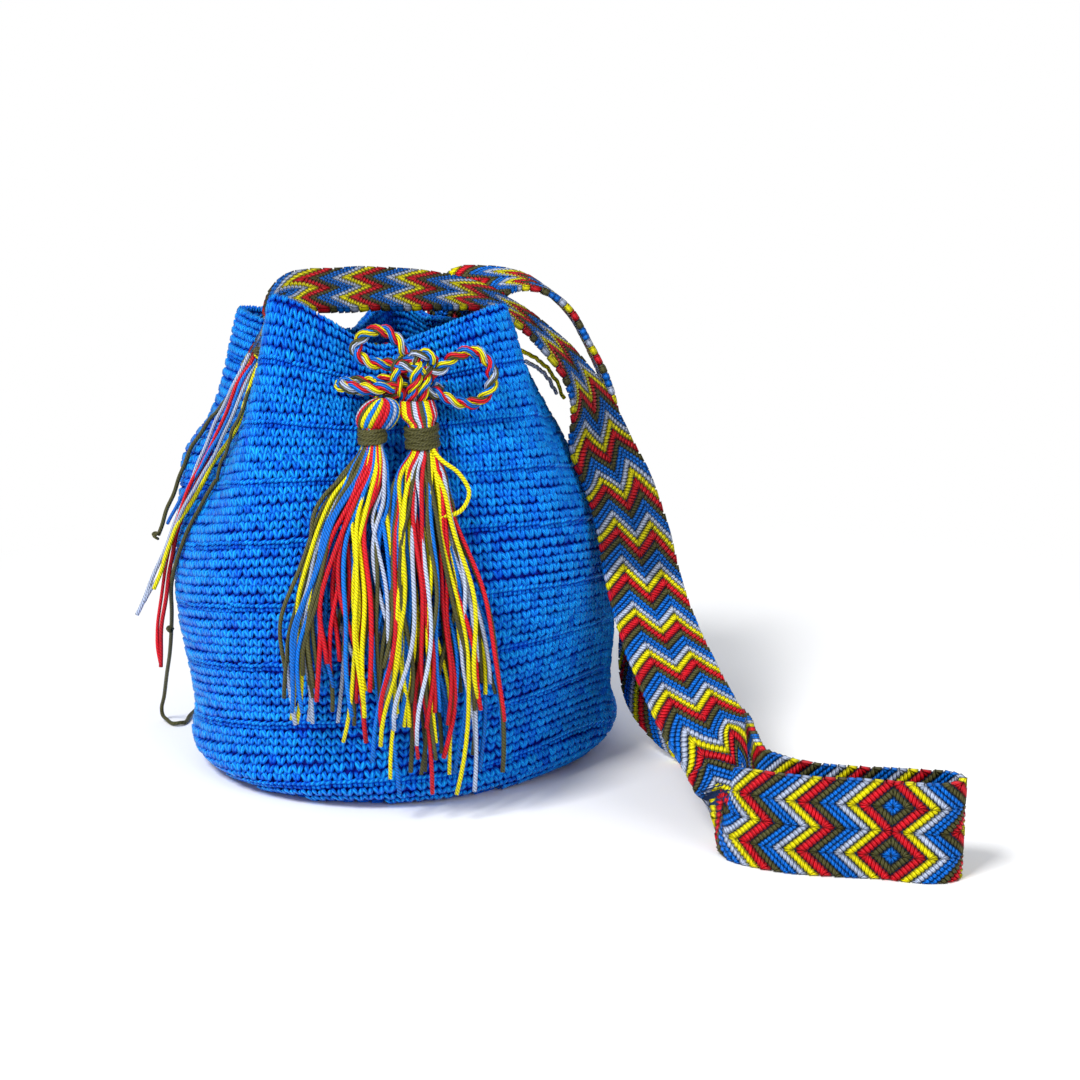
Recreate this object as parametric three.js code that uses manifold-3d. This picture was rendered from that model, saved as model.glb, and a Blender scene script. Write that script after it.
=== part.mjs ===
import * as THREE from 'three';
import { mergeVertices } from 'three/addons/utils/BufferGeometryUtils.js';
import Module from 'manifold-3d';

const wasm = await Module();
wasm.setup();

// A crocheted drawstring bucket bag with a woven shoulder strap. It stands on its round base with
// the front towards -Y. Lengths are in millimetres and angles in degrees, counted round from +X.

// Driving dimensions: the crocheted wall, from the base up
const baseRadius = 102;
const footRadius = 112;
const footHeight = 10;
const waistRadius = 110.5;
const waistHeight = 27;
const bellyRadius = 115.5;
const bellyHeight = 75;
const chestRadius = 114;
const chestHeight = 110;
const shoulderRadius = 102;
const shoulderHeight = 150;
const neckRadius = 81;
const neckHeight = 203;
const rimRadius = 70;
const rimHeight = 232;
const lean = -16; // how far the mouth leans sideways over the base
const wallThickness = 4.5;
const ridgeCount = 26; // two crocheted rounds to a ridge
const ridgeDepth = 0.9;
const columnCount = 42;
const innerRingCount = 12;
const footSkew = 6; // the soft base is drawn out this far towards its front left and back right
const footSkewBearing = 225;
const footSkewHeight = 70;
const gatherHeight = 105; // the folds of the gathered mouth fade out at this height
const sagHeight = 165; // and sag into this shape below the mouth

// The gathers, all the way round: lobes stand out of the plain wall and folds sink into it, by the
// bulge at the rim and by the sag below it.
const gathers = [
  { bearing: 28, bulge: -14, sag: -3, lift: -10 }, // right side fold, where one strap end is sewn on
  { bearing: 58, bulge: -14, sag: -3, lift: -10 },
  { bearing: 85, bulge: 7, sag: 3, lift: -4 }, // back right lobe
  { bearing: 111, bulge: -26, sag: -9, lift: -16 }, // back fold
  { bearing: 148, bulge: 19, sag: 15, lift: -3 }, // back left lobe
  { bearing: 170, bulge: -23, sag: 10, lift: -7 }, // left side fold, where the other strap end is sewn on
  { bearing: 206, bulge: -23, sag: -9, lift: -5 },
  { bearing: 232, bulge: 2, sag: 2, lift: 14 }, // front left lobe
  { bearing: 280, bulge: -24, sag: -9, lift: -13 }, // front fold, behind the bow
  { bearing: 328, bulge: 12, sag: 4, lift: 8 }, // front right lobe
  { bearing: 345, bulge: 1, sag: 1, lift: -8 }, // under the strap
];

// Driving dimensions: strap, drawstring, tassels and loose yarn
const strapWidth = 47;
const strapThickness = 3.2;
const strapSteps = 110;
const cordDiameter = 7.5;
const cordSides = 10;
const knotWidth = 19;
const knotDepth = 15;
const knotHeight = 27;
const tasselNeckRadius = 7.5;
const bindingThickness = 1.6;
const fluteCount = 10;
const fluteDepth = 0.09; // share of the skirt's own radius
const yarnDiameter = 2.2;
const yarnSides = 8;
const yarnKnotDiameter = 7;
const clearance = 0.4; // air between pieces that touch

const { degToRad, lerp, smoothstep, clamp, euclideanModulo } = THREE.MathUtils;

// Radius of the wall as it would be with no gathers
const wallProfile = [
  [0, baseRadius],
  [footHeight, footRadius],
  [waistHeight, waistRadius],
  [bellyHeight, bellyRadius],
  [chestHeight, chestRadius],
  [shoulderHeight, shoulderRadius],
  [neckHeight, neckRadius],
  [rimHeight, rimRadius],
];
const profileCurve = new THREE.CubicInterpolant(
  wallProfile.map(([height]) => height),
  wallProfile.map(([, radius]) => radius),
  1,
  [0],
);

function plainRadius(height) {
  return profileCurve.evaluate(clamp(height, 0, rimHeight))[0];
}

function leanAt(height) {
  return (lean * height) / rimHeight;
}

function gatherAt(bearing) {
  const turned = euclideanModulo(bearing - gathers[0].bearing, 360) + gathers[0].bearing;
  const next = gathers.findIndex((gather) => gather.bearing > turned);
  const after = gathers.at(next === -1 ? 0 : next);
  const before = gathers.at(next === -1 ? -1 : next - 1);
  const span = euclideanModulo(after.bearing - before.bearing, 360);
  const share = smoothstep(turned - before.bearing, 0, span);
  return {
    bulge: lerp(before.bulge, after.bulge, share),
    sag: lerp(before.sag, after.sag, share),
    lift: lerp(before.lift, after.lift, share),
  };
}

function gatherShare(height) {
  return smoothstep(height, gatherHeight, rimHeight);
}

function wallRadius(bearing, height) {
  const { bulge, sag } = gatherAt(bearing);
  const gathered = lerp(sag, bulge, smoothstep(height, sagHeight - 15, rimHeight));
  const skew = footSkew * Math.cos(degToRad(2 * (bearing - footSkewBearing)));
  const low = 1 - smoothstep(height, 0, footSkewHeight);
  return plainRadius(height) + gathered * smoothstep(height, gatherHeight, sagHeight) + skew * low;
}

// Bearings that split the gathered rim into equal lengths, as its stitches do
function rimBearings(count) {
  const samples = 1440;
  const walked = [0];
  for (let i = 1; i <= samples; i++) {
    const before = rimPoint(((i - 1) * 360) / samples);
    const here = rimPoint((i * 360) / samples);
    walked.push(walked[i - 1] + here.distanceTo(before));
  }
  return Array.from({ length: count }, (_, column) => {
    const wanted = (walked[samples] * column) / count;
    const past = walked.findIndex((length) => length > wanted);
    const share = (wanted - walked[past - 1]) / (walked[past] - walked[past - 1]);
    return ((past - 1 + share) * 360) / samples;
  });
}

function rimPoint(bearing) {
  const angle = degToRad(bearing);
  const radius = wallRadius(bearing, rimHeight);
  return new THREE.Vector2(radius * Math.cos(angle), radius * Math.sin(angle));
}

// A point of the wall, pushed in from its outer face along the wall's own level normal
function wallPoint(bearing, height, inset) {
  const angle = degToRad(bearing);
  const radius = wallRadius(bearing, height);
  const probe = 0.2;
  const slope = wallRadius(bearing + probe, height) - wallRadius(bearing - probe, height);
  const normalAngle = angle - Math.atan2(slope, 2 * degToRad(probe) * radius);
  const rise = gatherAt(bearing).lift * (height / rimHeight) ** 6;
  return new THREE.Vector3(
    leanAt(height) + radius * Math.cos(angle) - inset * Math.cos(normalAngle),
    radius * Math.sin(angle) - inset * Math.sin(normalAngle),
    height + rise,
  );
}

// A place beside the bag, measured out from the plain wall
function beside(bearing, height, standoff) {
  const angle = degToRad(bearing);
  const radius = plainRadius(height) + standoff;
  return new THREE.Vector3(leanAt(height) + radius * Math.cos(angle), radius * Math.sin(angle), height);
}

// Closed skin over rings of points, all turning the same way, with a fan over each end
function loft(rings) {
  const size = rings[0].length;
  const positions = rings.flat().flatMap((point) => point.toArray());
  const middle = (ring) => ring.reduce((sum, p) => sum.add(p), new THREE.Vector3()).divideScalar(size);
  positions.push(...middle(rings[0]).toArray(), ...middle(rings.at(-1)).toArray());
  const startMiddle = rings.length * size;
  const endMiddle = startMiddle + 1;
  const faces = [];
  for (let column = 0; column < size; column++) {
    const beside = (column + 1) % size;
    for (let ring = 0; ring + 1 < rings.length; ring++) {
      const low = ring * size;
      const high = low + size;
      faces.push(low + column, low + beside, high + beside);
      faces.push(low + column, high + beside, high + column);
    }
    const last = startMiddle - size;
    faces.push(startMiddle, beside, column);
    faces.push(endMiddle, last + column, last + beside);
  }
  const geometry = new THREE.BufferGeometry();
  geometry.setAttribute('position', new THREE.Float32BufferAttribute(positions, 3));
  geometry.setIndex(faces);
  return geometry;
}

function tube(points, diameter, sides, stepsPerPoint) {
  const corners = Array.from({ length: sides }, (_, side) => {
    const angle = (2 * Math.PI * side) / sides;
    return new THREE.Vector2(Math.cos(angle), Math.sin(angle)).multiplyScalar(diameter / 2);
  });
  return new THREE.ExtrudeGeometry(new THREE.Shape(corners), {
    steps: (points.length - 1) * stepsPerPoint,
    extrudePath: new THREE.CatmullRomCurve3(points),
    bevelEnabled: false,
  });
}

function toSolid(geometry) {
  const bare = geometry.clone();
  bare.deleteAttribute('normal');
  bare.deleteAttribute('uv');
  const merged = mergeVertices(bare);
  return new wasm.Manifold(
    new wasm.Mesh({
      numProp: 3,
      vertProperties: merged.attributes.position.array,
      triVerts: new Uint32Array(merged.index.array),
    }),
  );
}

function cutAway(geometry, tools) {
  const solid = tools.reduce((left, tool) => left.subtract(toSolid(tool)), toSolid(geometry));
  const mesh = solid.getMesh();
  const result = new THREE.BufferGeometry();
  result.setAttribute('position', new THREE.BufferAttribute(mesh.vertProperties, 3));
  result.setIndex(new THREE.BufferAttribute(mesh.triVerts, 1));
  return result;
}

const bag = new THREE.Group();

function addPiece(name, geometry, colour, roughness) {
  const material = new THREE.MeshStandardMaterial({ color: colour, roughness, metalness: 0 });
  const mesh = new THREE.Mesh(geometry, material);
  mesh.name = name;
  bag.add(mesh);
}

const blue = 0x0a69d7;
const olive = 0x50502a;
const red = 0xd7192d;
const yellow = 0xffe114;
const pale = 0xbecdf5;

// The drawstring: once round the neck, outside the front and back folds and inside everywhere else.
// Each stop is a bearing and a distance from the plain neck.
const neckStops = [
  [281, -9.5],
  [274, -11.5],
  [265, -15],
  [255, -18],
  [240, -20],
  [222, -25],
  [207, -29.5],
  [185, -30.5],
  [163, -29.5],
  [148, -22],
  [134, -16],
  [122, -16],
  [111, -16],
  [100, -16.5],
  [88, -16.5],
  [70, -20],
  [43, -23],
  [15, -22],
  [350, -17],
  [325, -12.5],
  [308, -11.5],
  [298, -10.5],
];
const neckRoute = neckStops.map(([bearing, standoff]) => beside(bearing, neckHeight, standoff));
const eyeletTool = tube(neckRoute, cordDiameter + 2 * clearance, cordSides, 2);

// Crocheted body: ridged outer face, rounded rim, smooth inner face and a flat base
function bagBody() {
  const rimColumns = rimBearings(columnCount);
  const ring = (height, inset) =>
    rimColumns.map((rimBearing, column) => {
      const plainBearing = (column * 360) / columnCount;
      const bearing = lerp(plainBearing, rimBearing, gatherShare(height));
      return wallPoint(bearing, height, inset);
    });
  const outer = [];
  for (let half = 0; half <= 2 * ridgeCount; half++) {
    const height = (rimHeight * half) / (2 * ridgeCount);
    outer.push(ring(height, half % 2 === 0 && half > 0 ? ridgeDepth : 0));
  }
  const inner = [];
  for (let step = innerRingCount; step >= 0; step--) {
    inner.push(ring(lerp(wallThickness, rimHeight, step / innerRingCount), wallThickness));
  }
  return cutAway(loft([...outer, ...inner]), [eyeletTool]);
}
addPiece('bag_body', bagBody(), blue, 0.75);

// The strap is one woven band. Each stop is a bearing, a share of the rim's height, a distance out
// from the plain wall, the bearing and rise of the way that its outer face looks, and the share of
// its inner half that shows where a pleat takes up the rest.
const strapEdge = (strapWidth / 2 + clearance) / rimHeight; // half the width: the band stands on its edge
const strapStops = [
  // sewn into the left side fold, up and across the open mouth
  [190, 0.862, -12.7, 190, 5],
  [190, 0.927, -16.9, 190, 8],
  [189, 0.985, -19.8, 191, 12],
  [186, 1.026, -22, 195, 40],
  [182, 1.047, -34, 260, 72],
  [180, 1.049, -49, 270, 72],
  [0, 1.052, -69, 270, 72],
  [0, 1.049, -45, 270, 74],
  [359, 1.04, -23, 275, 80],
  [357, 1.024, -7, 340, 80],
  // over the rim and down the right flank
  [357, 0.996, 5, 355, 55],
  [357, 0.953, 13, 353, 48],
  [356, 0.909, 19, 349, 41],
  [356, 0.862, 22, 346, 33],
  [356, 0.802, 22, 336, 24],
  [355, 0.707, 17.5, 318, 22],
  [352, 0.616, 19, 313, 32],
  [346, 0.526, 20.5, 313, 36],
  [340, 0.448, 24, 311, 40],
  [334, 0.379, 34, 309, 46],
  [328, 0.323, 49, 305, 54],
  [323, 0.267, 69, 303, 56],
  // rolled on to its edge, its inner side pinched into a pleat
  [319.5, 0.212, 91.2, 293, 60, 0.95],
  [318.9, 0.175, 106, 265, 45, 0.4],
  [317.8, 0.133, 116.7, 229, 42, 0.05],
  [315.4, 0.11, 120.8, 170, 26, 0.3],
  [313.1, strapEdge, 124.9, 202, 3, 0.92],
  // on edge along the floor, round a tight turn and back
  [313.3, strapEdge, 141.5, 239, 0],
  [315.2, strapEdge, 160.2, 262, 0],
  [319, strapEdge, 188, 262, 0],
  [321.1, strapEdge, 209.7, 262, 0],
  [322.5, strapEdge, 216.4, 310, 0],
  [323.9, strapEdge, 215.3, 0, 0],
  [324.4, strapEdge, 207.1, 60, 0],
  [323.3, strapEdge, 194, 98, 0],
  [320.8, strapEdge, 171, 98, 0],
  [318.7, strapEdge, 150, 110, 0],
  [319, strapEdge, 125.3, 30, 0],
  [323.8, strapEdge, 106.1, 5, 0],
  [330.5, strapEdge, 88, 20, 0],
  // up behind the hanging run, over and into the right side fold
  [337.7, strapEdge + 0.002, 61.5, 25, -2],
  [345.6, 0.116, 40, 25, -9],
  [352.5, 0.148, 27, 22, -24],
  [359, 0.2, 18.5, 15, -27],
  [5, 0.28, 14, 10, -19],
  [10.5, 0.388, 14, 8, -4],
  [14, 0.5, 18, 6, 10],
  [16, 0.608, 26, 5, 12],
  [19, 0.711, 34, 5, 15],
  [21, 0.81, 41, 5, 20],
  [24, 0.901, 43, 5, 30],
  [27, 0.978, 42, 10, 50],
  [31, 1.03, 31, 30, 85],
  [36, 1.047, 16, 215, 75],
  [41, 1.03, -3.5, 222, 30],
  [43, 0.98, -14.5, 223, 0],
  [43, 0.93, -14.1, 223, -10],
  [43, 0.885, -11.9, 223, -10],
];

function strapShowing(share) {
  const place = share * (strapStops.length - 1);
  const before = Math.min(Math.floor(place), strapStops.length - 2);
  const [, , , , , here = 1] = strapStops[before];
  const [, , , , , next = 1] = strapStops[before + 1];
  return lerp(here, next, place - before);
}

function strapBand() {
  const route = new THREE.CatmullRomCurve3(
    strapStops.map(([bearing, share, standoff]) => beside(bearing, share * rimHeight, standoff)),
  );
  const looks = new THREE.CatmullRomCurve3(
    strapStops.map(([, , , bearing, rise]) => {
      const level = Math.cos(degToRad(rise));
      const angle = degToRad(bearing);
      return new THREE.Vector3(level * Math.cos(angle), level * Math.sin(angle), Math.sin(degToRad(rise)));
    }),
  );
  const rings = [];
  for (let step = 0; step <= strapSteps; step++) {
    const share = step / strapSteps;
    const middle = route.getPoint(share);
    const ahead = route.getTangent(share);
    const across = ahead.clone().cross(looks.getPoint(share)).normalize();
    const out = across.clone().cross(ahead).normalize();
    const inner = -strapShowing(share);
    const corner = (side, face) =>
      middle
        .clone()
        .addScaledVector(across, (side * strapWidth) / 2)
        .addScaledVector(out, (face * strapThickness) / 2);
    rings.push([corner(1, 1), corner(1, -1), corner(inner, -1), corner(inner, 1)]);
  }
  return loft(rings);
}
addPiece('shoulder_strap', strapBand(), red, 0.7);

// The bow at the front fold: knot, loops and the short tail that carries the left tassel
const knotCentre = beside(288, 209, -5);
const knotOut = new THREE.Vector3(0, -1, 0);

function knotBody(growth) {
  const knot = new THREE.SphereGeometry(0.5, 14, 10).rotateX(Math.PI / 2);
  knot.scale(knotWidth + 2 * growth, knotDepth + 2 * growth, knotHeight + 2 * growth);
  return knot.translate(...knotCentre.toArray());
}

// Bow places: right, up and out from the middle of the knot
function bowRoute(stops) {
  return stops.map(([right, up, out]) =>
    knotCentre.clone().add(new THREE.Vector3(right, 0, up)).addScaledVector(knotOut, out),
  );
}

addPiece('bow_knot', mergeVertices(knotBody(0)), yellow, 0.7);
const knotSeat = knotBody(clearance);
const neckCord = cutAway(tube(neckRoute, cordDiameter, cordSides, 2), [knotSeat]);
addPiece('drawstring', neckCord, yellow, 0.7);

const bowLoops = {
  bow_loop_left_upper: [
    [-2, 5, 3],
    [-11, 7.5, 4],
    [-21, 8.5, 4],
    [-27, 14, 3],
    [-23, 21.5, 2],
    [-14, 24, 2],
    [-7, 19.5, 3],
    [-2, 12.5, 3],
  ],
  bow_loop_left_lower: [
    [-3, -3, 6],
    [-13, -2.5, 14.2],
    [-24, -2.5, 14.5],
    [-32, -2, 13],
    [-34, -1.5, 9],
    [-30, -1, 6],
    [-22, -0.5, 5.8],
    [-12, 0, 6.2],
    [-3, 1, -1.5],
  ],
  bow_loop_right: [
    [2, 3, 3],
    [12, 4, 5],
    [21, 11, 5],
    [30, 14, 4],
    [38, 8, 3],
    [39, -3, 3],
    [32, -11, 4],
    [21, -10.5, 6],
    [11, -6, 6],
    [2, -4, 3],
  ],
};
const pressedBy = [knotSeat, eyeletTool]; // cords that lie against each other flatten a little
for (const [name, stops] of Object.entries(bowLoops)) {
  const route = bowRoute(stops);
  addPiece(name, cutAway(tube(route, cordDiameter, cordSides, 2), pressedBy), yellow, 0.7);
  pressedBy.push(tube(route, cordDiameter + 2 * clearance, cordSides, 2));
}

// Tassels: each section is a bearing, a height, a distance out from the plain wall to its middle,
// half its width and half its depth. Sections run from the ends of the yarn up to the knot.
const tasselSections = {
  left: [
    [256.5, 47, 16, 24, 5.5],
    [257, 70, 13.5, 23, 6.5],
    [259, 100, 13, 20, 7],
    [262.5, 132, 13, 15, 7],
    [267, 160, 10.5, 10.5, 7],
    [270, 178, 5, tasselNeckRadius, tasselNeckRadius],
    [270, 188, 1, tasselNeckRadius, tasselNeckRadius],
    [272, 192, 0.5, 10, 9.5],
    [275, 197.5, 0.5, 8, 7],
    [281, 201.6, -2.5, 5, 4.5],
  ],
  right: [
    [279.5, 8, 17, 27, 5],
    [280, 45, 17, 30, 6],
    [281, 90, 14.5, 24, 7],
    [283, 132, 14, 17, 7],
    [285.5, 160, 11.5, 11, 7],
    [287, 176, 6.5, tasselNeckRadius, tasselNeckRadius],
    [287, 191, 0.5, tasselNeckRadius, tasselNeckRadius],
    [287.5, 198.5, -3, 7, 6],
  ],
};
const bindingSpans = { left: [180, 186], right: [179, 189] };

function tasselRing([bearing, height, standoff, halfWidth, halfDepth]) {
  const middle = beside(bearing, height, standoff);
  const sideways = degToRad(bearing + 90);
  const count = 2 * fluteCount;
  return Array.from({ length: count }, (_, corner) => {
    const angle = (2 * Math.PI * corner) / count;
    const flute = corner % 2 === 0 ? 1 : 1 - fluteDepth;
    const along = halfWidth * flute * Math.cos(angle);
    const out = halfDepth * flute * Math.sin(angle);
    return new THREE.Vector3(
      middle.x + along * Math.cos(sideways) + out * Math.sin(sideways),
      middle.y + along * Math.sin(sideways) - out * Math.cos(sideways),
      height,
    );
  }).reverse();
}

for (const [side, sections] of Object.entries(tasselSections)) {
  const skirt = loft(sections.map(tasselRing));
  addPiece(`tassel_${side}`, cutAway(skirt, [knotSeat]), yellow, 0.75);
}

// Olive yarn wound round each tassel's neck: a ring with a rounded outer face
function bindingRing(lower, upper, [low, high]) {
  const inner = tasselNeckRadius + clearance;
  const outer = inner + bindingThickness;
  const edge = bindingThickness / 3;
  const profile = [
    [inner, 0],
    [outer - edge, 0],
    [outer, edge],
    [outer, high - low - edge],
    [outer - edge, high - low],
    [inner, high - low],
    [inner, 0],
  ];
  const ring = new THREE.LatheGeometry(
    profile.map(([radius, up]) => new THREE.Vector2(radius, up)),
    2 * fluteCount,
  );
  const start = beside(...lower);
  const slope = beside(...upper).sub(start).divideScalar(upper[1] - lower[1]);
  const slant = new THREE.Matrix4().makeShear(0, 0, 0, 0, slope.x, slope.y);
  start.addScaledVector(slope, low - lower[1]);
  return ring.rotateX(Math.PI / 2).applyMatrix4(slant).translate(...start.toArray());
}

for (const [side, span] of Object.entries(bindingSpans)) {
  const above = tasselSections[side].findIndex(([, height]) => height > span[1]);
  const [lower, upper] = [above - 1, above].map((index) => tasselSections[side][index].slice(0, 3));
  addPiece(`tassel_${side}_binding`, bindingRing(lower, upper, span), olive, 0.75);
}

// Loose ends of yarn: a knot on the front left lobe with its tails, a thread that trails to the floor
// and two ends at the right. Each stop is a bearing, a height and a distance out from the plain wall.
const yarnKnotCentre = wallPoint(218, 216, -yarnKnotDiameter / 2 - clearance);
const yarnKnot = new THREE.SphereGeometry(yarnKnotDiameter / 2, 10, 7).translate(...yarnKnotCentre.toArray());
addPiece('yarn_knot_left', mergeVertices(yarnKnot), olive, 0.75);

const yarnTails = {
  yarn_tail_left_1: [
    pale,
    [213.9, 216.6, -4],
    [213, 203, -0.5],
    [202.6, 188.1, -3.5],
    [198, 172.9, -2.9],
    [196, 156.2, -1.7],
    [194.5, 137.2, 0.6],
    [193.3, 116.5, 4.4],
    [192.8, 96.2, 11.8],
    [192.6, 77.5, 21.7],
  ],
  yarn_tail_left_2: [
    olive,
    [213.5, 213.4, -8.7],
    [209.5, 201, -5.5],
    [196.5, 187.5, -5],
    [189.1, 178.4, -2.4],
    [186.1, 166.5, 1.2],
    [185.2, 154.4, 3.8],
    [184.5, 141.6, 5.6],
    [185.2, 129, 7],
    [186.6, 117.1, 9.1],
  ],
  yarn_tail_left_3: [
    red,
    [216.5, 215.3, -4.9],
    [218.5, 201.5, 0],
    [210.2, 184.6, -4.4],
    [203, 169.4, -4.5],
    [199.6, 153.9, -2.7],
    [197.6, 137.7, -0.8],
    [196.3, 120.9, 0.7],
    [195.5, 103.7, 3],
    [195, 86, 6.6],
    [194.6, 67.9, 10.6],
    [194.5, 49.8, 15.5],
  ],
  yarn_tail_left_4: [
    yellow,
    [217.8, 213.7, -8],
    [221.5, 203, -2.3],
    [221.3, 186.9, -1.1],
    [211.2, 172.2, -5.9],
    [205.1, 158.1, -5.3],
    [201.4, 143.6, -2],
    [198.8, 127.8, 1.8],
    [197.1, 110.9, 6],
    [196, 92.9, 11.7],
  ],
  yarn_tail_left_5: [
    olive,
    [210.3, 153.4, -5.7],
    [206.8, 141, -3.6],
    [204, 128.1, -1.2],
    [202.4, 113.9, 1.2],
    [195.7, 95.5, 1.9],
    [189.5, 76.8, 4],
    [183.6, 58, 8.8],
    [176.8, 38.1, 17.4],
    [169.5, 16.3, 24.9],
    [168.3, 7.5, 31.8],
    [168.8, 2.8, 36.4],
    [170.5, 1.6, 32.5],
    [171.9, 1.6, 27],
    [170.5, 1.6, 23.5],
    [166, 1.6, 24],
    [161.2, 1.6, 26.8],
  ],
  yarn_tail_right_1: [
    yellow,
    [345, 216, 0.6],
    [352, 211, 4],
    [0, 204, 7],
    [6, 195, 9],
    [9, 184, 9],
  ],
  yarn_tail_right_2: [
    pale,
    [348, 209, 1],
    [356, 203, 4],
    [3, 196, 5.5],
    [8, 187, 6],
  ],
};
for (const [name, [colour, ...stops]] of Object.entries(yarnTails)) {
  const route = stops.map((stop) => beside(...stop));
  addPiece(name, tube(route, yarnDiameter, yarnSides, 1), colour, 0.75);
}

export default bag;
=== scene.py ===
import math
import random

import bpy
import numpy as np
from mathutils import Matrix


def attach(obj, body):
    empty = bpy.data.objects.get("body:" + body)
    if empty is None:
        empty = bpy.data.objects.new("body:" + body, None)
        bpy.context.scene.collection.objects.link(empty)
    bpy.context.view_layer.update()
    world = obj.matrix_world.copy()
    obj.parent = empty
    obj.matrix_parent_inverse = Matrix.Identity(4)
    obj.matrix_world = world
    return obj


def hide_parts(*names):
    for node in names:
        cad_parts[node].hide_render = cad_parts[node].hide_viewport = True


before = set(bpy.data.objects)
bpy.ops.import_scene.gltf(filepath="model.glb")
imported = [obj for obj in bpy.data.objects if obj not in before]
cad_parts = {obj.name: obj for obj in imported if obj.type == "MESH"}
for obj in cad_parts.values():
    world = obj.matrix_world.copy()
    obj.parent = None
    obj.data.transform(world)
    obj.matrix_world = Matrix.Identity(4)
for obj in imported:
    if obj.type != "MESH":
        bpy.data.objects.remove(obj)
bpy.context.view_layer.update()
bpy.ops.object.select_all(action="DESELECT")

# Crocheted wall. Tight single crochet in blue cotton, worked in rounds from the base to the rim.
# The mouth is pulled in by the drawstring, so the same stitches gather into deep folds there.
rim_height = 232.0
half_wall = 2.25
mouth_lean = 16.0
fold_heights = (105, 165)
sag_height = 150
base_skew = 6
skew_bearing = 225
skew_height = 70
floor_clear = 0.06
profile_heights = np.array([0, 10, 27, 75, 110, 150, 203, 232], float)
profile_radii = np.array([102, 112, 110.5, 115.5, 114, 102, 81, 70], float)
fold_bearings = np.array([28, 58, 85, 111, 148, 170, 206, 232, 280, 328, 345], float)
fold_bulges = np.array([-14, -14, 7, -26, 19, -23, -23, 2, -24, 12, 1], float)
fold_sags = np.array([-3, -3, 3, -9, 15, 10, -9, 2, -9, 4, 1], float)
fold_lifts = np.array([-10, -10, -4, -16, -5, -12, -11, 14, -13, 8, -8], float)


def eased(value, low, high):
    share = np.clip((value - low) / (high - low), 0, 1)
    return share * share * (3 - 2 * share)


def plain_radius(height):
    """The outer radius of the bag without its folds, as a smooth curve through the profile."""
    height = np.clip(height, 0, rim_height)
    last = len(profile_heights) - 1
    upper = np.clip(np.searchsorted(profile_heights, height, side="right"), 1, last)
    before = np.where(upper > 1, upper - 2, upper)
    after = np.where(upper < last, upper + 1, upper - 1)
    low, high = profile_heights[upper - 1], profile_heights[upper]
    half = (high - low) / 2
    pull = half / (low - profile_heights[before])
    push = half / (profile_heights[after] - high)
    p = (height - low) / (high - low)
    return (
        profile_radii[before] * (-pull * p**3 + 2 * pull * p**2 - pull * p)
        + profile_radii[upper - 1]
        * ((1 + pull) * p**3 - (1.5 + 2 * pull) * p**2 + (pull - 0.5) * p + 1)
        + profile_radii[upper] * ((-1 - push) * p**3 + (1.5 + push) * p**2 + 0.5 * p)
        + profile_radii[after] * (push * p**3 - push * p**2)
    )


def lean_at(height):
    return -mouth_lean * height / rim_height


def fold_at(bearing, sizes):
    """A size of the folds at a bearing, eased from each crease or lobe to the next."""
    turned = (bearing - fold_bearings[0]) % 360 + fold_bearings[0]
    after = np.searchsorted(fold_bearings, turned, side="right")
    ends = np.append(fold_bearings, fold_bearings[0] + 360)
    values = np.append(sizes, sizes[0])
    share = eased(turned, ends[after - 1], ends[after])
    return values[after - 1] + (values[after] - values[after - 1]) * share


def wall_radius(bearing, height):
    """The outer radius with the folds of the mouth and the slight oval of the base."""
    bulge, sag = fold_at(bearing, fold_bulges), fold_at(bearing, fold_sags)
    gathered = sag + (bulge - sag) * eased(height, sag_height, rim_height)
    skew = base_skew * np.cos(np.radians(2 * (bearing - skew_bearing)))
    skew = skew * (1 - eased(height, 0, skew_height))
    return plain_radius(height) + gathered * eased(height, *fold_heights) + skew


def wall_point(bearing, height, inset):
    """A place on the folded wall, so far in from its outer face. The folds lift only near the rim."""
    angle = np.radians(bearing)
    radius = wall_radius(bearing, height)
    step = 0.2
    slope = wall_radius(bearing + step, height) - wall_radius(bearing - step, height)
    facing = angle - np.arctan2(slope, 2 * np.radians(step) * radius)
    rise = fold_at(bearing, fold_lifts) * (np.clip(height, 0, rim_height) / rim_height) ** 6
    return np.stack(
        [
            lean_at(height) + radius * np.cos(angle) - inset * np.cos(facing),
            radius * np.sin(angle) - inset * np.sin(facing),
            height + rise,
        ],
        -1,
    )


def walk_along(line):
    return np.append(0, np.cumsum(np.linalg.norm(np.diff(line, axis=0), axis=1)))


rim_walk = np.linspace(0, 360, 1441)
rim_line = wall_point(rim_walk, np.full_like(rim_walk, rim_height), 0)[:, :2]
rim_lengths = walk_along(rim_line)


def column_bearing(share, height):
    """A column of stitches climbs straight, then closes up with its neighbours into the folds."""
    turns = np.floor(share)
    rim_bearing = np.interp((share - turns) * rim_lengths[-1], rim_lengths, rim_walk)
    gather = eased(height, fold_heights[0], rim_height)
    return 360 * share + (rim_bearing + 360 * turns - 360 * share) * gather


def on_wall(share, climb, out):
    """Up the outer face, over the rolled rim and down the inside, out from the cloth's own face."""
    over = np.clip((climb - rim_height) / (math.pi * half_wall), 0, 1) * math.pi
    height = np.minimum(climb, np.maximum(0, 2 * rim_height + math.pi * half_wall - climb))
    height = np.minimum(height, rim_height)
    bearing = column_bearing(share, height)
    place = wall_point(bearing, height, half_wall - (half_wall + out) * np.cos(over))
    place[..., 2] += (half_wall + out) * np.sin(over)
    return place


def directions(line):
    ahead = np.gradient(line, axis=0)
    return ahead / np.linalg.norm(ahead, axis=1)[:, None]


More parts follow.
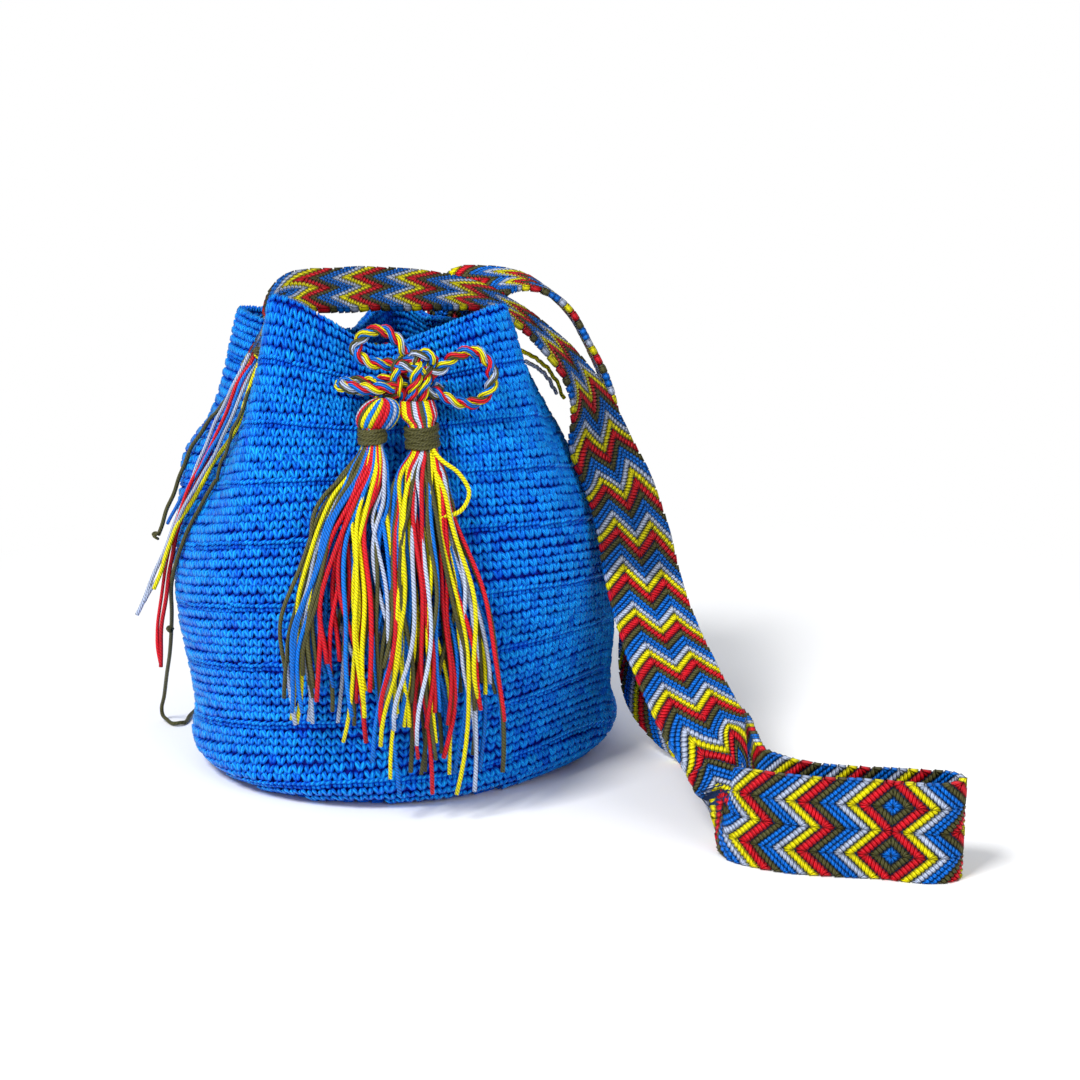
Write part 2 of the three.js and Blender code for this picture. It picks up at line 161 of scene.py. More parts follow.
def carried_frame(line, first_side):
    """Two directions square to a line, carried along it without a twist."""
    ahead = directions(line)
    side = np.cross(ahead[0], first_side)
    sides = [side / np.linalg.norm(side)]
    for i in range(1, len(line)):
        side = sides[-1] - ahead[i] * np.dot(sides[-1], ahead[i])
        sides.append(side / np.linalg.norm(side))
    sides = np.array(sides)
    return sides, np.cross(ahead, sides)


def ring_grid(rings, sides):
    """Four-cornered faces between rings of corners, with the ring and corner that each starts from."""
    ring, corner = np.meshgrid(np.arange(rings - 1), np.arange(sides), indexing="ij")
    here, beside = ring * sides, (corner + 1) % sides
    faces = [here + corner, here + beside, here + sides + beside, here + sides + corner]
    return np.stack(faces, -1).reshape(-1, 4), ring, corner


strand_side = (0.31, 0.17, 0.93)


def yarn_tube(line, radius, sides, turn=0.0):
    """Corners, four-cornered faces and the way along and round for a strand that follows a line."""
    line = np.asarray(line, float)
    count = len(line)
    sideways, outward = carried_frame(line, strand_side)
    around = np.linspace(0, 2 * math.pi, sides, endpoint=False) + turn
    thick = np.broadcast_to(np.asarray(radius, float), (count,))[:, None, None]
    rings = line[:, None] + thick * (
        np.cos(around)[None, :, None] * sideways[:, None]
        + np.sin(around)[None, :, None] * outward[:, None]
    )
    faces, ring, corner = ring_grid(count, sides)
    walked = walk_along(line)
    low, high = walked[ring], walked[ring + 1]
    left, right = corner / sides, (corner + 1) / sides
    places = ((low, left), (low, right), (high, right), (high, left))
    strand = np.stack([np.stack(place, -1) for place in places], -2).reshape(-1, 4, 2)
    last = (count - 1) * sides
    ends = [[3, 2, 1, 0], [last, last + 1, last + 2, last + 3]]
    if sides == 6:
        ends += [[5, 4, 3, 0], [last, last + 3, last + 4, last + 5]]
    faces = np.concatenate([faces, ends])
    tips = np.zeros((len(ends), 4, 2))
    tips[1::2, :, 0] = walked[-1]
    return rings.reshape(-1, 3), faces, np.concatenate([strand, tips])


def make_piece(name, corners, faces, finish, colours=None, strand=None, cells=None):
    """A mesh from millimetres, with a colour for each corner and the way along each strand."""
    mesh = bpy.data.meshes.new(name)
    faces = faces.tolist() if isinstance(faces, np.ndarray) else faces
    mesh.from_pydata((np.asarray(corners) / 1000).tolist(), [], faces)
    if colours is not None:
        dye = mesh.attributes.new("dye", "FLOAT_COLOR", "POINT")
        solid = np.c_[colours, np.ones(len(colours))].astype(np.float32)
        dye.data.foreach_set("color", solid.ravel())
    for map_name, places in (("strand", strand), ("OFBake", cells)):
        if places is not None:
            layer = mesh.uv_layers.new(name=map_name)
            layer.uv.foreach_set("vector", np.asarray(places, np.float32).ravel())
    mesh.polygons.foreach_set("use_smooth", np.ones(len(mesh.polygons), bool))
    mesh.materials.append(finish)
    mesh.update()
    piece = bpy.data.objects.new(name, mesh)
    bpy.context.scene.collection.objects.link(piece)
    return piece


class Tone:
    """One socket of a finish. A sum or product of tones adds its Math node."""

    def __init__(self, tree, socket=None):
        self.tree = tree
        self.socket = socket

    def node(self, kind, settings, inputs, output=0):
        made = self.tree.nodes.new("ShaderNode" + kind)
        for name, value in settings.items():
            setattr(made, name, value)
        for name, value in inputs.items():
            if isinstance(value, Tone):
                self.tree.links.new(value.socket, made.inputs[name])
            else:
                made.inputs[name].default_value = value
        return Tone(self.tree, made.outputs[output] if made.outputs else None)

    def math(self, operation, first, second=0.0):
        return self.node("Math", {"operation": operation}, {0: first, 1: second})

    def __add__(self, other):
        return self.math("ADD", self, other)

    def __radd__(self, other):
        return self.math("ADD", other, self)

    def __sub__(self, other):
        return self.math("SUBTRACT", self, other)

    def __rsub__(self, other):
        return self.math("SUBTRACT", other, self)

    def __mul__(self, other):
        return self.math("MULTIPLY", self, other)

    def __rmul__(self, other):
        return self.math("MULTIPLY", other, self)


def blank_finish(name):
    material = bpy.data.materials.new(name)
    material.use_nodes = True
    material.node_tree.nodes.clear()
    return material, Tone(material.node_tree)


def yarn_finish(name, plies, pitch, depth, roughness, gloss, painted_side_shade=0.0, painted_shade_colour=None, groove=0.8):
    """Plied yarn in the colour of its dye, with painted shade that darkens the twist lines along the strand
    and, if asked, the sides of each knot; fibres and a soft gloss.
    """
    material, start = blank_finish(name)
    dye = start.node("Attribute", {"attribute_name": "dye"}, {}, "Color")
    strand = start.node("UVMap", {"uv_map": "strand"}, {})
    along = start.node("SeparateXYZ", {}, {0: strand})
    around = Tone(start.tree, along.socket.node.outputs[1])
    twist = along * (1 / pitch) + around * plies
    ply = start.math("ABSOLUTE", start.math("SINE", twist * math.pi))
    ply = start.math("POWER", ply, groove)
    place = start.node("TexCoord", {}, {}, "Object")
    fluff = {"Vector": place, "Scale": 1500.0, "Detail": 3.0, "Roughness": 0.6}
    fibre = start.node("TexNoise", {}, fluff)
    cloud = start.node("TexNoise", {}, {"Vector": place, "Scale": 55.0, "Detail": 2.0})
    # Painted shade: the colour is darkened in the twist lines and, with painted_side_shade, towards the sides
    # of each knot; the fibre and cloud noise are the yarn's own uneven tone.
    tone_and_painted_shade = (1 - depth) + ply * depth + (fibre - 0.5) * 0.35 + (cloud - 0.5) * 0.25
    if painted_side_shade:
        unshaded_crown = start.math("ABSOLUTE", start.math("SINE", around * (4 * math.pi)))
        unshaded_crown = start.math("POWER", unshaded_crown, 0.7)
        tone_and_painted_shade = tone_and_painted_shade * ((1 - painted_side_shade) + unshaded_crown * painted_side_shade)
    # In the painted shade the colour goes towards painted_shade_colour where one is given, otherwise it only
    # gets darker.
    if painted_shade_colour:
        colour = start.node("Mix", {"data_type": "RGBA"}, {0: tone_and_painted_shade, 6: painted_shade_colour, 7: dye}, 2)
    else:
        grey = start.node("CombineColor", {}, {0: tone_and_painted_shade, 1: tone_and_painted_shade, 2: tone_and_painted_shade})
        darken = {"data_type": "RGBA", "blend_type": "MULTIPLY"}
        colour = start.node("Mix", darken, {0: 1.0, 6: dye, 7: grey}, 2)
    relief = ply * 0.8 + fibre * 0.4
    bump = start.node("Bump", {}, {"Strength": 0.7, "Distance": 0.0005, "Height": relief})
    skin = start.node(
        "BsdfPrincipled",
        {},
        {
            "Base Color": colour,
            "Roughness": roughness - ply * 0.08 + fibre * 0.06,
            "Normal": bump,
            "Specular IOR Level": 0.4 if painted_shade_colour else 0.22,
            "Specular Tint": gloss,
        },
    )
    start.node("OutputMaterial", {}, {0: skin})
    return material


rounds = 53
stitches_round = 134
first_climb = 2.0
round_height = (rim_height - first_climb) / rounds
stitch_width = 5.3
column_shift = 0.13
ridge_every, ridge_round = 7, 5
chance = np.random.default_rng(11)
bag_gloss = (0.02, 0.75, 1.0, 1)
# bag_shade is the dark navy that the bag yarn's colour is mixed towards in its painted shade.
bag_shade = (0.0, 0.005, 0.52, 1)
bag_yarn = yarn_finish(
    "bag_yarn", plies=5.0, pitch=5.0, depth=0.75, roughness=0.4, gloss=bag_gloss, painted_shade_colour=bag_shade
)

# A strand of a stitch is a row of places: share across, share up, out from the cloth, half its width.
single_crochet = [
    [(0.46, -0.08, -1.4, 1.05), (0.37, 0.24, -0.75, 1.4), (0.24, 0.58, -0.6, 1.5), (0.11, 0.88, -2.2, 1.05)],
    [(0.58, -0.08, -1.4, 1.05), (0.68, 0.24, -0.75, 1.4), (0.81, 0.58, -0.6, 1.5), (0.94, 0.88, -2.2, 1.05)],
]
chain_ridge = [
    [(-0.08, 0.50, -1.3, 0.9), (0.24, 0.68, -0.3, 1.15), (0.56, 0.88, -1.1, 0.9)],
    [(0.42, 0.50, -1.3, 0.9), (0.74, 0.68, -0.3, 1.15), (1.06, 0.88, -1.1, 0.9)],
    [(0.28, -0.12, -2.5, 1.0), (0.26, 0.20, -1.1, 1.6), (0.34, 0.50, -1.7, 1.1)],
    [(0.60, -0.12, -2.5, 1.0), (0.72, 0.20, -1.1, 1.6), (0.84, 0.50, -1.7, 1.1)],
]
# Painted shade and highlight: a corner shade_depth below the cloth face gets dark navy, one crest_height
# above it bright cyan.
shade_depth = 2.1
crest_height = 0.6


def blue_with_painted_shade(depth):
    """The bag's blue with painted shade and highlight: dark navy deep between the stitches, a bright cyan
    painted highlight on the crest of a loop.
    """
    crest = np.clip((np.asarray(depth) + shade_depth) / (shade_depth + crest_height), 0, 1)
    return np.stack([0.012 * crest**2, 0.004 + 0.39 * crest**3.2, 0.38 + 0.56 * crest], -1)


def stitch_pattern(strokes):
    """The strands of one stitch as a mesh, in shares of its width and height."""
    scale = np.array([stitch_width, round_height, 1.0])
    corners, faces, strand = [], [], []
    for stroke in strokes:
        stroke = np.array(stroke)
        some, quads, way = yarn_tube(stroke[:, :3] * scale, stroke[:, 3], 4, math.pi / 4)
        faces.append(quads + sum(len(c) for c in corners))
        corners.append(some / scale)
        strand.append(way)
    return np.concatenate(corners), np.concatenate(faces), np.concatenate(strand)


hand_shift = (0.04, 0.04, 0.18)
hand_size = 0.06
hand_lean = 0.10
hand_shade = 0.08
stitch_heart = (0.5, 0.4, -0.6)


def crochet(columns, climbs, strokes):
    """Works one stitch for each column and climb, with the small unevenness of hand work."""
    pattern, faces, strand = stitch_pattern(strokes)
    count = len(columns)
    shift = chance.normal(0, hand_shift, (count, 3))
    size = chance.normal(1, hand_size, (count, 1, 1))
    local = (pattern[None] - stitch_heart) * size + stitch_heart + shift[:, None]
    local[..., 0] += chance.normal(0, hand_lean, (count, 1)) * (local[..., 1] - stitch_heart[1])
    corners = on_wall(
        (columns[:, None] + local[..., 0]) / stitches_round,
        climbs[:, None] + local[..., 1] * round_height,
        local[..., 2],
    ).reshape(-1, 3)
    shade = chance.normal(1, hand_shade, (count, 1)).clip(0.75, 1.25)
    # Each corner gets the blue with painted shade by its depth, times a random tone for the stitch.
    colours = blue_with_painted_shade(local[..., 2]).reshape(-1, 3) * np.repeat(shade, len(pattern), axis=0)
    steps = (np.arange(count) * len(pattern))[:, None, None]
    return corners, (faces + steps).reshape(-1, 4), colours, np.tile(strand, (count, 1, 1))


def bake_cells(count):
    """A map with one small square for each face, so that no two share a place."""
    across = math.ceil(math.sqrt(count))
    number = np.arange(count)
    corner = np.stack([number % across, number // across], -1)[:, None] / across
    gap = 0.12 / across
    size = 1 / across - 2 * gap
    square = np.array([(0, 0), (1, 0), (1, 1), (0, 1)])
    return corner + gap + square[None] * size


row_tilt = 22
row_high_side = 288
flank_rise = 11
flank_bearings = (280, 335, 390)
flank_heights = (30, 90)
tilt_height = 110
lowest_climb = 0.3


def slump(columns, climb):
    """The rows tilt, highest at the front, rise again low on the right flank, and run into the base."""
    bearing = 2 * math.pi * columns / stitches_round
    tilt = row_tilt * np.cos(bearing - math.radians(row_high_side))
    tilt = tilt * (1 - eased(climb, tilt_height, rim_height))
    start, top, end = flank_bearings
    degrees = np.degrees(bearing)
    flank = flank_rise * eased(degrees, start, top) * (1 - eased(degrees, top, end))
    return tilt + flank * (1 - eased(climb, *flank_heights))


def joined(parts):
    """Many small meshes as one: their corners, faces, colours and ways along the strand."""
    corners, faces, colours, ways = zip(*parts)
    starts = np.append(0, np.cumsum([len(some) for some in corners]))
    faces = [quads + start for quads, start in zip(faces, starts)]
    return [np.concatenate(some) for some in (corners, faces, colours, ways)]


def crochet_piece(name, first_round, end_round):
    parts = []
    for number in range(first_round, end_round):
        ridged = number % ridge_every == ridge_round and number < rounds
        columns = np.arange(stitches_round) + column_shift * number
        climb = first_climb + number * round_height
        sway = 0.35 * np.sin(columns * 0.19 + number * 1.7) + 0.25 * np.sin(columns * 0.47 + number * 2.9)
        climbs = climb + sway + slump(columns % stitches_round, climb)
        above = climbs > lowest_climb
        parts.append(crochet(columns[above], climbs[above], chain_ridge if ridged else single_crochet))
    corners, faces, colours, strand = joined(parts)
    corners[:, 2] = np.maximum(corners[:, 2], floor_clear)
    piece = make_piece(name, corners, faces, bag_yarn, colours, strand, bake_cells(len(faces)))
    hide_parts("bag_body")
    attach(piece, "root")


# The rounds start below the floor, because the tilt lifts them on one side, and end inside the mouth.
sunk_rounds = 8
inner_rounds = 11
crochet_piece("crochet_lower", -sunk_rounds, 22)
crochet_piece("crochet_middle", 22, 43)
crochet_piece("crochet_upper", 43, rounds + inner_rounds)

# Base of the bag. A flat round of the same blue cotton, crocheted from the middle outwards and
# pressed down by the bag's own weight. Its last round turns up into the wall.
base_rounds = 15
base_stitch_width = 7.4
base_height = 1.15


def on_base(share, radius_share, out):
    bearing = 360 * share
    radius = radius_share * wall_radius(bearing, np.zeros_like(bearing))
    angle = np.radians(bearing)
    return np.stack([radius * np.cos(angle), radius * np.sin(angle), base_height - out], -1)


flat_loop = [(0.05, 0.0, -1.0, 1.3), (0.30, 0.62, 0.0, 1.5), (0.68, 0.62, 0.0, 1.5), (0.95, 0.0, -1.0, 1.3)]
flat_pattern, flat_faces, flat_strand = stitch_pattern([flat_loop])
base_parts = []
for number in range(1, base_rounds):
    girth = 2 * math.pi * (number + 0.5) * profile_radii[0] / base_rounds
    count = max(6, round(girth / base_stitch_width))
    local = flat_pattern[None] + chance.normal(0, (0.03, 0.03, 0.0), (count, 3))[:, None]
    share = (np.arange(count)[:, None] + 0.3 * number + local[..., 0]) / count
    corners = on_base(share, (number + local[..., 1]) / base_rounds, local[..., 2]).reshape(-1, 3)
    base_parts.append((corners, count))
base_corners = np.concatenate([part[0] for part in base_parts])
base_count = sum(part[1] for part in base_parts)
base_steps = (np.arange(base_count) * len(flat_pattern))[:, None, None]
base_faces = (flat_faces[:, ::-1] + base_steps).reshape(-1, 4)
base_shades = blue_with_painted_shade(0.0)[None] * chance.normal(0.9, 0.07, (base_count, 1))
base_colours = np.repeat(base_shades, len(flat_pattern), axis=0)
base_corners[:, 2] = np.maximum(base_corners[:, 2], floor_clear)
base = make_piece(
    "crochet_base",
    base_corners,
    base_faces,
    bag_yarn,
    base_colours,
    np.tile(flat_strand[:, ::-1], (base_count, 1, 1)),
    bake_cells(len(base_faces)),
)
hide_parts("bag_body")
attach(base, "root")

# Body of the cloth behind the stitches. The backs of the same stitches, as one solid shell, close the wall
# and the base; outside it is painted dark navy as the shade deep between the loops, and inside the bag it
# shows as rows.
cloth_columns = 140
cloth_share = np.arange(cloth_columns) / cloth_columns
under_stitches = -2.1
inside_face = -0.9
roll_length = math.pi * half_wall


def cloth_ring(climb, out):
    return on_wall(cloth_share, np.full(cloth_columns, float(climb)), np.full(cloth_columns, float(out)))


def floor_ring(radius_share, height):
    ring = on_base(cloth_share, np.full(cloth_columns, radius_share), np.zeros(cloth_columns))
    ring[:, 2] = height
    return ring


cloth_rings = [floor_ring(s, 2.2) for s in (0.03, 0.2, 0.4, 0.6, 0.8, 0.94)]
cloth_rings += [cloth_ring(climb, under_stitches) for climb in np.linspace(3.0, rim_height, 50)]
for share in (0.25, 0.5, 0.75):
    cloth_rings.append(cloth_ring(rim_height + roll_length * share, under_stitches + 1.2 * share))
outside_rings = len(cloth_rings)
for climb in np.linspace(0, rim_height - 6, 50):
    cloth_rings.append(cloth_ring(rim_height + roll_length + climb, inside_face))
cloth_rings += [floor_ring(s, 5.0) for s in (0.93, 0.8, 0.6, 0.4, 0.2, 0.03)]
cloth_corners = np.concatenate(cloth_rings)
cloth_faces, ring, corner = ring_grid(len(cloth_rings), cloth_columns)
cloth_way = np.stack(
    [
        np.stack([c / cloth_columns * stitches_round, r], -1)
        for c, r in ((corner, ring), (corner + 1, ring), (corner + 1, ring + 1), (corner, ring + 1))
    ],
    -2,
).reshape(-1, 4, 2)
last = len(cloth_corners) - cloth_columns
ends = [list(range(cloth_columns))[::-1], list(range(last, len(cloth_corners)))]
end_way = np.zeros((2 * cloth_columns, 2))
cloth_strand = np.concatenate([cloth_way.reshape(-1, 2), end_way])


def cloth_finish(name, colour, painted_shade_colour):
    """Rows of rounded lumps, as the backs of stitches make them, with fibres over them, and painted shade
    that darkens the colour between the lumps.
    """
    material, start = blank_finish(name)
    strand = start.node("UVMap", {"uv_map": "strand"}, {})
    split = start.node("SeparateXYZ", {}, {0: strand})
    row = Tone(start.tree, split.socket.node.outputs[1])
    across = start.math("ABSOLUTE", start.math("SINE", split * math.pi + row * 0.5))
    along = start.math("ABSOLUTE", start.math("SINE", row * math.pi))
    lump = across * along
    place = start.node("TexCoord", {}, {}, "Object")
    fibre = start.node("TexNoise", {}, {"Vector": place, "Scale": 1400.0, "Detail": 3.0})
    tone_and_painted_shade = lump * 0.8 + fibre * 0.2
    shade = start.node("Mix", {"data_type": "RGBA"}, {0: tone_and_painted_shade, 6: painted_shade_colour, 7: colour}, 2)
    relief = lump + fibre * 0.25
    bump = start.node("Bump", {}, {"Strength": 0.9, "Distance": 0.0012, "Height": relief})
    skin = start.node(
        "BsdfPrincipled",
        {},
        {
            "Base Color": shade,
            "Roughness": 0.78 - lump * 0.12,
            "Normal": bump,
            "Specular IOR Level": 0.25,
        },
    )
    start.node("OutputMaterial", {}, {0: skin})
    return material


# Painted shade: the outer cloth is a dark navy, far darker than the yarn, standing for the shade deep between
# the loops; the lining inside has the yarn's own blue.
cloth_back_painted_shade = cloth_finish("cloth_back_painted_shade", (0.0, 0.012, 0.42, 1), (0.0, 0.004, 0.26, 1))
cloth_lining = cloth_finish("cloth_lining", (0.002, 0.2, 0.85, 1), (0.0, 0.02, 0.4, 1))
cloth = make_piece(
    "crochet_cloth", cloth_corners, cloth_faces.tolist() + ends, cloth_back_painted_shade, strand=cloth_strand
)
cloth.data.materials.append(cloth_lining)
inside_faces = np.zeros(len(cloth.data.polygons), np.int32)
inside_faces[(outside_rings - 1) * cloth_columns : len(cloth_faces)] = 1
inside_faces[-1] = 1
cloth.data.polygons.foreach_set("material_index", inside_faces)
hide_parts("bag_body")
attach(cloth, "root")

# Shoulder strap. A flat band of hitched yarn: every colour runs in zigzag rows of tight little
# wraps that meet in diamonds. It is sewn inside the two side folds and lies over the mouth.
strap_width = 47.0
strap_edge = 23.9 / rim_height
strap_points = 4000
# A stop's bearing, share of the rim's height and distance from the wall, then the bearing and rise
# of the band's face, and where it is pleated, how much is left of one half's width.
strap_stops = [
    (190, 0.862, -12.7, 190, 5), (190, 0.927, -16.9, 190, 8), (189, 0.985, -19.8, 191, 12),
    (186, 1.026, -22, 195, 40), (182, 1.047, -34, 260, 72), (180, 1.049, -49, 270, 72),
    (0, 1.052, -69, 270, 72), (0, 1.049, -45, 270, 74), (359, 1.04, -23, 275, 80),
    (357, 1.024, -7, 340, 80), (357, 0.996, 5, 355, 55), (357, 0.953, 13, 353, 48),
    (356, 0.909, 19, 349, 41), (356, 0.862, 22, 346, 33), (356, 0.802, 22, 336, 24),
    (355, 0.707, 17.5, 318, 22), (352, 0.616, 19, 313, 32), (346, 0.526, 20.5, 313, 36),
    (340, 0.448, 24, 311, 40), (334, 0.379, 34, 309, 46), (328, 0.323, 49, 305, 54),
    (323, 0.267, 69, 303, 56), (319.5, 0.212, 91.2, 293, 60, 0.95),
    (318.9, 0.175, 106, 265, 45, 0.4), (317.8, 0.133, 116.7, 229, 42, 0.05),
    (315.4, 0.11, 120.8, 170, 26, 0.3), (313.1, strap_edge, 124.9, 202, 3, 0.92),
    (313.3, strap_edge, 141.5, 239, 0), (315.2, strap_edge, 160.2, 262, 0), (319, strap_edge, 188, 262, 0),
    (321.1, strap_edge, 209.7, 262, 0), (322.5, strap_edge, 216.4, 310, 0), (323.9, strap_edge, 215.3, 0, 0),
    (324.4, strap_edge, 207.1, 60, 0), (323.3, strap_edge, 194, 98, 0), (320.8, strap_edge, 171, 98, 0),
    (318.7, strap_edge, 150, 110, 0), (319, strap_edge, 125.3, 30, 0), (323.8, strap_edge, 106.1, 5, 0),
    (330.5, strap_edge, 88, 20, 0), (337.7, strap_edge + 0.002, 61.5, 25, -2), (345.6, 0.116, 40, 25, -9),
    (352.5, 0.148, 27, 22, -24), (359, 0.2, 18.5, 15, -27), (5, 0.28, 14, 10, -19), (10.5, 0.388, 14, 8, -4),
    (14, 0.5, 18, 6, 10), (16, 0.608, 26, 5, 12), (19, 0.711, 34, 5, 15),
    (21, 0.81, 41, 5, 20), (24, 0.901, 43, 5, 30), (27, 0.978, 42, 10, 50),
    (31, 1.03, 31, 30, 85), (36, 1.047, 16, 215, 75), (41, 1.03, -3.5, 222, 30),
    (43, 0.98, -14.5, 223, 0), (43, 0.93, -14.1, 223, -10), (43, 0.885, -11.9, 223, -10),
]


def beside_wall(bearing, height, standoff):
    """A place by its bearing, height and distance from the wall without its folds."""
    angle = math.radians(bearing)
    radius = float(plain_radius(np.array(height, float))) + standoff
    return np.array([lean_at(height) + radius * math.cos(angle), radius * math.sin(angle), height])


def smooth_line(stops, count):
    """An even curve through its stops, as a hanging cord takes it."""
    stops = np.asarray(stops, float)
    ends = np.concatenate([[2 * stops[0] - stops[1]], stops, [2 * stops[-1] - stops[-2]]])
    way = np.linspace(0, len(stops) - 1, count)
    leg = np.minimum(way.astype(int), len(stops) - 2)
    p = (way - leg)[:, None]
    a, b, c, d = (ends[leg + i] for i in range(4))
    spans = [np.sqrt(np.linalg.norm(y - x, axis=1))[:, None] for x, y in ((a, b), (b, c), (c, d))]
    tiny = 1e-4
    here = np.where(spans[1] < tiny, 1.0, spans[1])
    before = np.where(spans[0] < tiny, here, spans[0])
    after = np.where(spans[2] < tiny, here, spans[2])
    leave = ((b - a) / before - (c - a) / (before + here) + (c - b) / here) * here
    arrive = ((c - b) / here - (d - b) / (here + after) + (d - c) / after) * here
    return b + leave * p + (3 * (c - b) - 2 * leave - arrive) * p**2 + (2 * (b - c) + leave + arrive) * p**3


def face_direction(bearing, rise):
    turn, tip = math.radians(bearing), math.radians(rise)
    return math.cos(tip) * math.cos(turn), math.cos(tip) * math.sin(turn), math.sin(tip)


def softened(values, reach):
    even = np.ones(2 * reach + 1) / (2 * reach + 1)
    return np.convolve(np.pad(values, reach, mode="edge"), even, "valid")


strap_line = smooth_line(
    [beside_wall(stop[0], stop[1] * rim_height, stop[2]) for stop in strap_stops], strap_points
)
strap_looks = smooth_line([face_direction(*stop[3:5]) for stop in strap_stops], strap_points)
strap_looks = np.stack([softened(strap_looks[:, i], 20) for i in range(3)], -1)
strap_pleat = np.interp(
    np.linspace(0, len(strap_stops) - 1, strap_points),
    np.arange(len(strap_stops)),
    [stop[5] if len(stop) > 5 else 1.0 for stop in strap_stops],
)
strap_ahead = directions(strap_line)
strap_across = np.cross(strap_ahead, strap_looks)
strap_across /= np.linalg.norm(strap_across, axis=1)[:, None]
strap_out = np.cross(strap_across, strap_ahead)
strap_walk = walk_along(strap_line)
strap_length = strap_walk[-1]


def on_strap(along, across, out):
    """A place on the band: so far along it, across it from its middle and out from its face."""
    across = np.where(across < 0, across * np.interp(along, strap_walk, strap_pleat), across)
    parts = []
    for line in (strap_line, strap_across, strap_out):
        parts.append(np.stack([np.interp(along, strap_walk, line[:, i]) for i in range(3)], -1))
    place = parts[0] + parts[1] * across[..., None] + parts[2] * out[..., None]
    place[..., 2] = np.maximum(place[..., 2], floor_clear)
    return place


core_steps = 420
core_section = np.array(
    [
        (-22.9, 0.0), (-22.4, -0.6), (0.0, -0.7), (22.4, -0.6),
        (22.9, 0.0), (22.4, 0.6), (0.0, 0.7), (-22.4, 0.6),
    ]
)
core_sides = len(core_section)
core_row = 0.6
core_along = np.linspace(0.5, strap_length - 0.5, core_steps)
core_rings = on_strap(
    np.repeat(core_along[:, None], core_sides, 1),
    np.repeat(core_section[None, :, 0], core_steps, 0),
    np.repeat(core_section[None, :, 1], core_steps, 0),
)
core_faces, ring, corner = ring_grid(core_steps, core_sides)
core_way = np.zeros((4 * len(core_faces) + 2 * core_sides, 2))
core_way[: 4 * len(core_faces), 1] = np.repeat(ring.ravel(), 4) * core_row
last = (core_steps - 1) * core_sides
core_ends = [list(range(core_sides)), list(range(last, last + core_sides))[::-1]]
core_faces = core_faces[:, [0, 3, 2, 1]].tolist() + core_ends
# Painted shade: the core is dark navy, so that where it shows between the rows of knots and at the fold it
# reads as shade.
strap_core_painted_shade = cloth_finish("strap_core", (0.003, 0.04, 0.15, 1), (0.002, 0.014, 0.06, 1))
strap_core = make_piece(
    "strap_core", core_rings.reshape(-1, 3), core_faces, strap_core_painted_shade, strand=core_way
)

zigzag_rise = 12.4
knots_each_arm = 8
knot_half = 0.455
arm_width = strap_width / 4
knot_width = arm_width / knots_each_arm
yarn_dyes = {
    "blue": (0.001, 0.2, 0.85),
    "olive": (0.105, 0.10, 0.03),
    "red": (0.8, 0.008, 0.022),
    "yellow": (1.0, 0.9, 0.0),
    "pale": (0.57, 0.66, 0.88),
}
row_heights = {"blue": 3.4, "olive": 4.5, "red": 6.3, "yellow": 5.3, "pale": 4.6}
diamond_rows = [4.9, 5.2]
row_dyes = ["blue"] + ["olive", "red", "yellow", "pale", "blue", "blue"] * 40
row_tops = np.cumsum(diamond_rows + [row_heights[dye] for dye in row_dyes[2:]])
diamond_right = 230
off_floor, off_front = strap_line[:, 2] > 30, strap_line[:, 1] > -185
diamond_search = np.abs(strap_line[:, 0] - diamond_right) + 1000 * off_floor + 50 * off_front
diamond_walk = float(strap_walk[np.argmin(diamond_search)])
plain_gloss = (1.0, 1.0, 1.0, 1)
# The strap's knots get painted shade towards their sides, so the rows read darker between them.
strap_yarn = yarn_finish(
    "strap_yarn", plies=0.0, pitch=1.5, depth=0.4, roughness=0.45, gloss=plain_gloss, painted_side_shade=0.9
)

knot_shape = np.array(
    [
        (w, p * tall * knot_half, n * thick)
        for w, tall, thick in ((-0.5, 0.82, 1.05), (0.0, 1.0, 1.9), (0.5, 0.82, 1.05))
        for p, n in ((1, -1), (1, 1), (-1, 1), (-1, -1))
    ]
)
knot_faces = np.concatenate([ring_grid(3, 4)[0], [[3, 2, 1, 0], [8, 9, 10, 11]]])
knot_way = np.tile(np.array([(0, 0), (0, 0.25), (1.5, 0.25), (1.5, 0)], float)[None], (10, 1, 1))
knot_way[4:8, :, 0] += 1.5
arms = [((arm - 2) * arm_width, (arm - 1) * arm_width) for arm in range(4)]
steep_lean, slight_lean = -0.8, 0.49


def zigzag(across):
    turns = (across / arm_width + 2) % 2
    return zigzag_rise * np.abs(1 - turns)


def row_of_knots(side, number):
    """One row of hitches across the band. They all lean one way, and the arms meet in sharp corners."""
    places = []
    height = row_tops[number] - (row_tops[number - 1] if number else 0)
    for first, last in arms:
        rising = zigzag(np.array(first + 0.1)) > zigzag(np.array(first + 0.2))
        lean = steep_lean if rising == (side > 0) else slight_lean
        spare = math.ceil(abs(lean) * 0.465 * height / knot_width)
        middle = first + (np.arange(-spare, knots_each_arm + spare) + 0.5) * knot_width
        step = knot_shape[None] * chance.normal(1, (0.03, 0.03, 0.05), (len(middle), 1, 3))
        p = step[..., 1] * height
        across = middle[:, None] + step[..., 0] * knot_width * 1.02 + lean * p
        across = np.clip(across, first, last)
        wide = across.max(1) - across.min(1) > 0.35 * knot_width
        away = row_tops[number] - height / 2 - zigzag(across) + side * p
        seen = wide & (away.max(1) > 0.3)
        along = diamond_walk + side * np.maximum(away, 0)
        seen &= (along.min(1) > 1.0) & (along.max(1) < strap_length - 1.0)
        places.append(np.stack([along, across, step[..., 2]], -1)[seen])
    return np.concatenate(places)


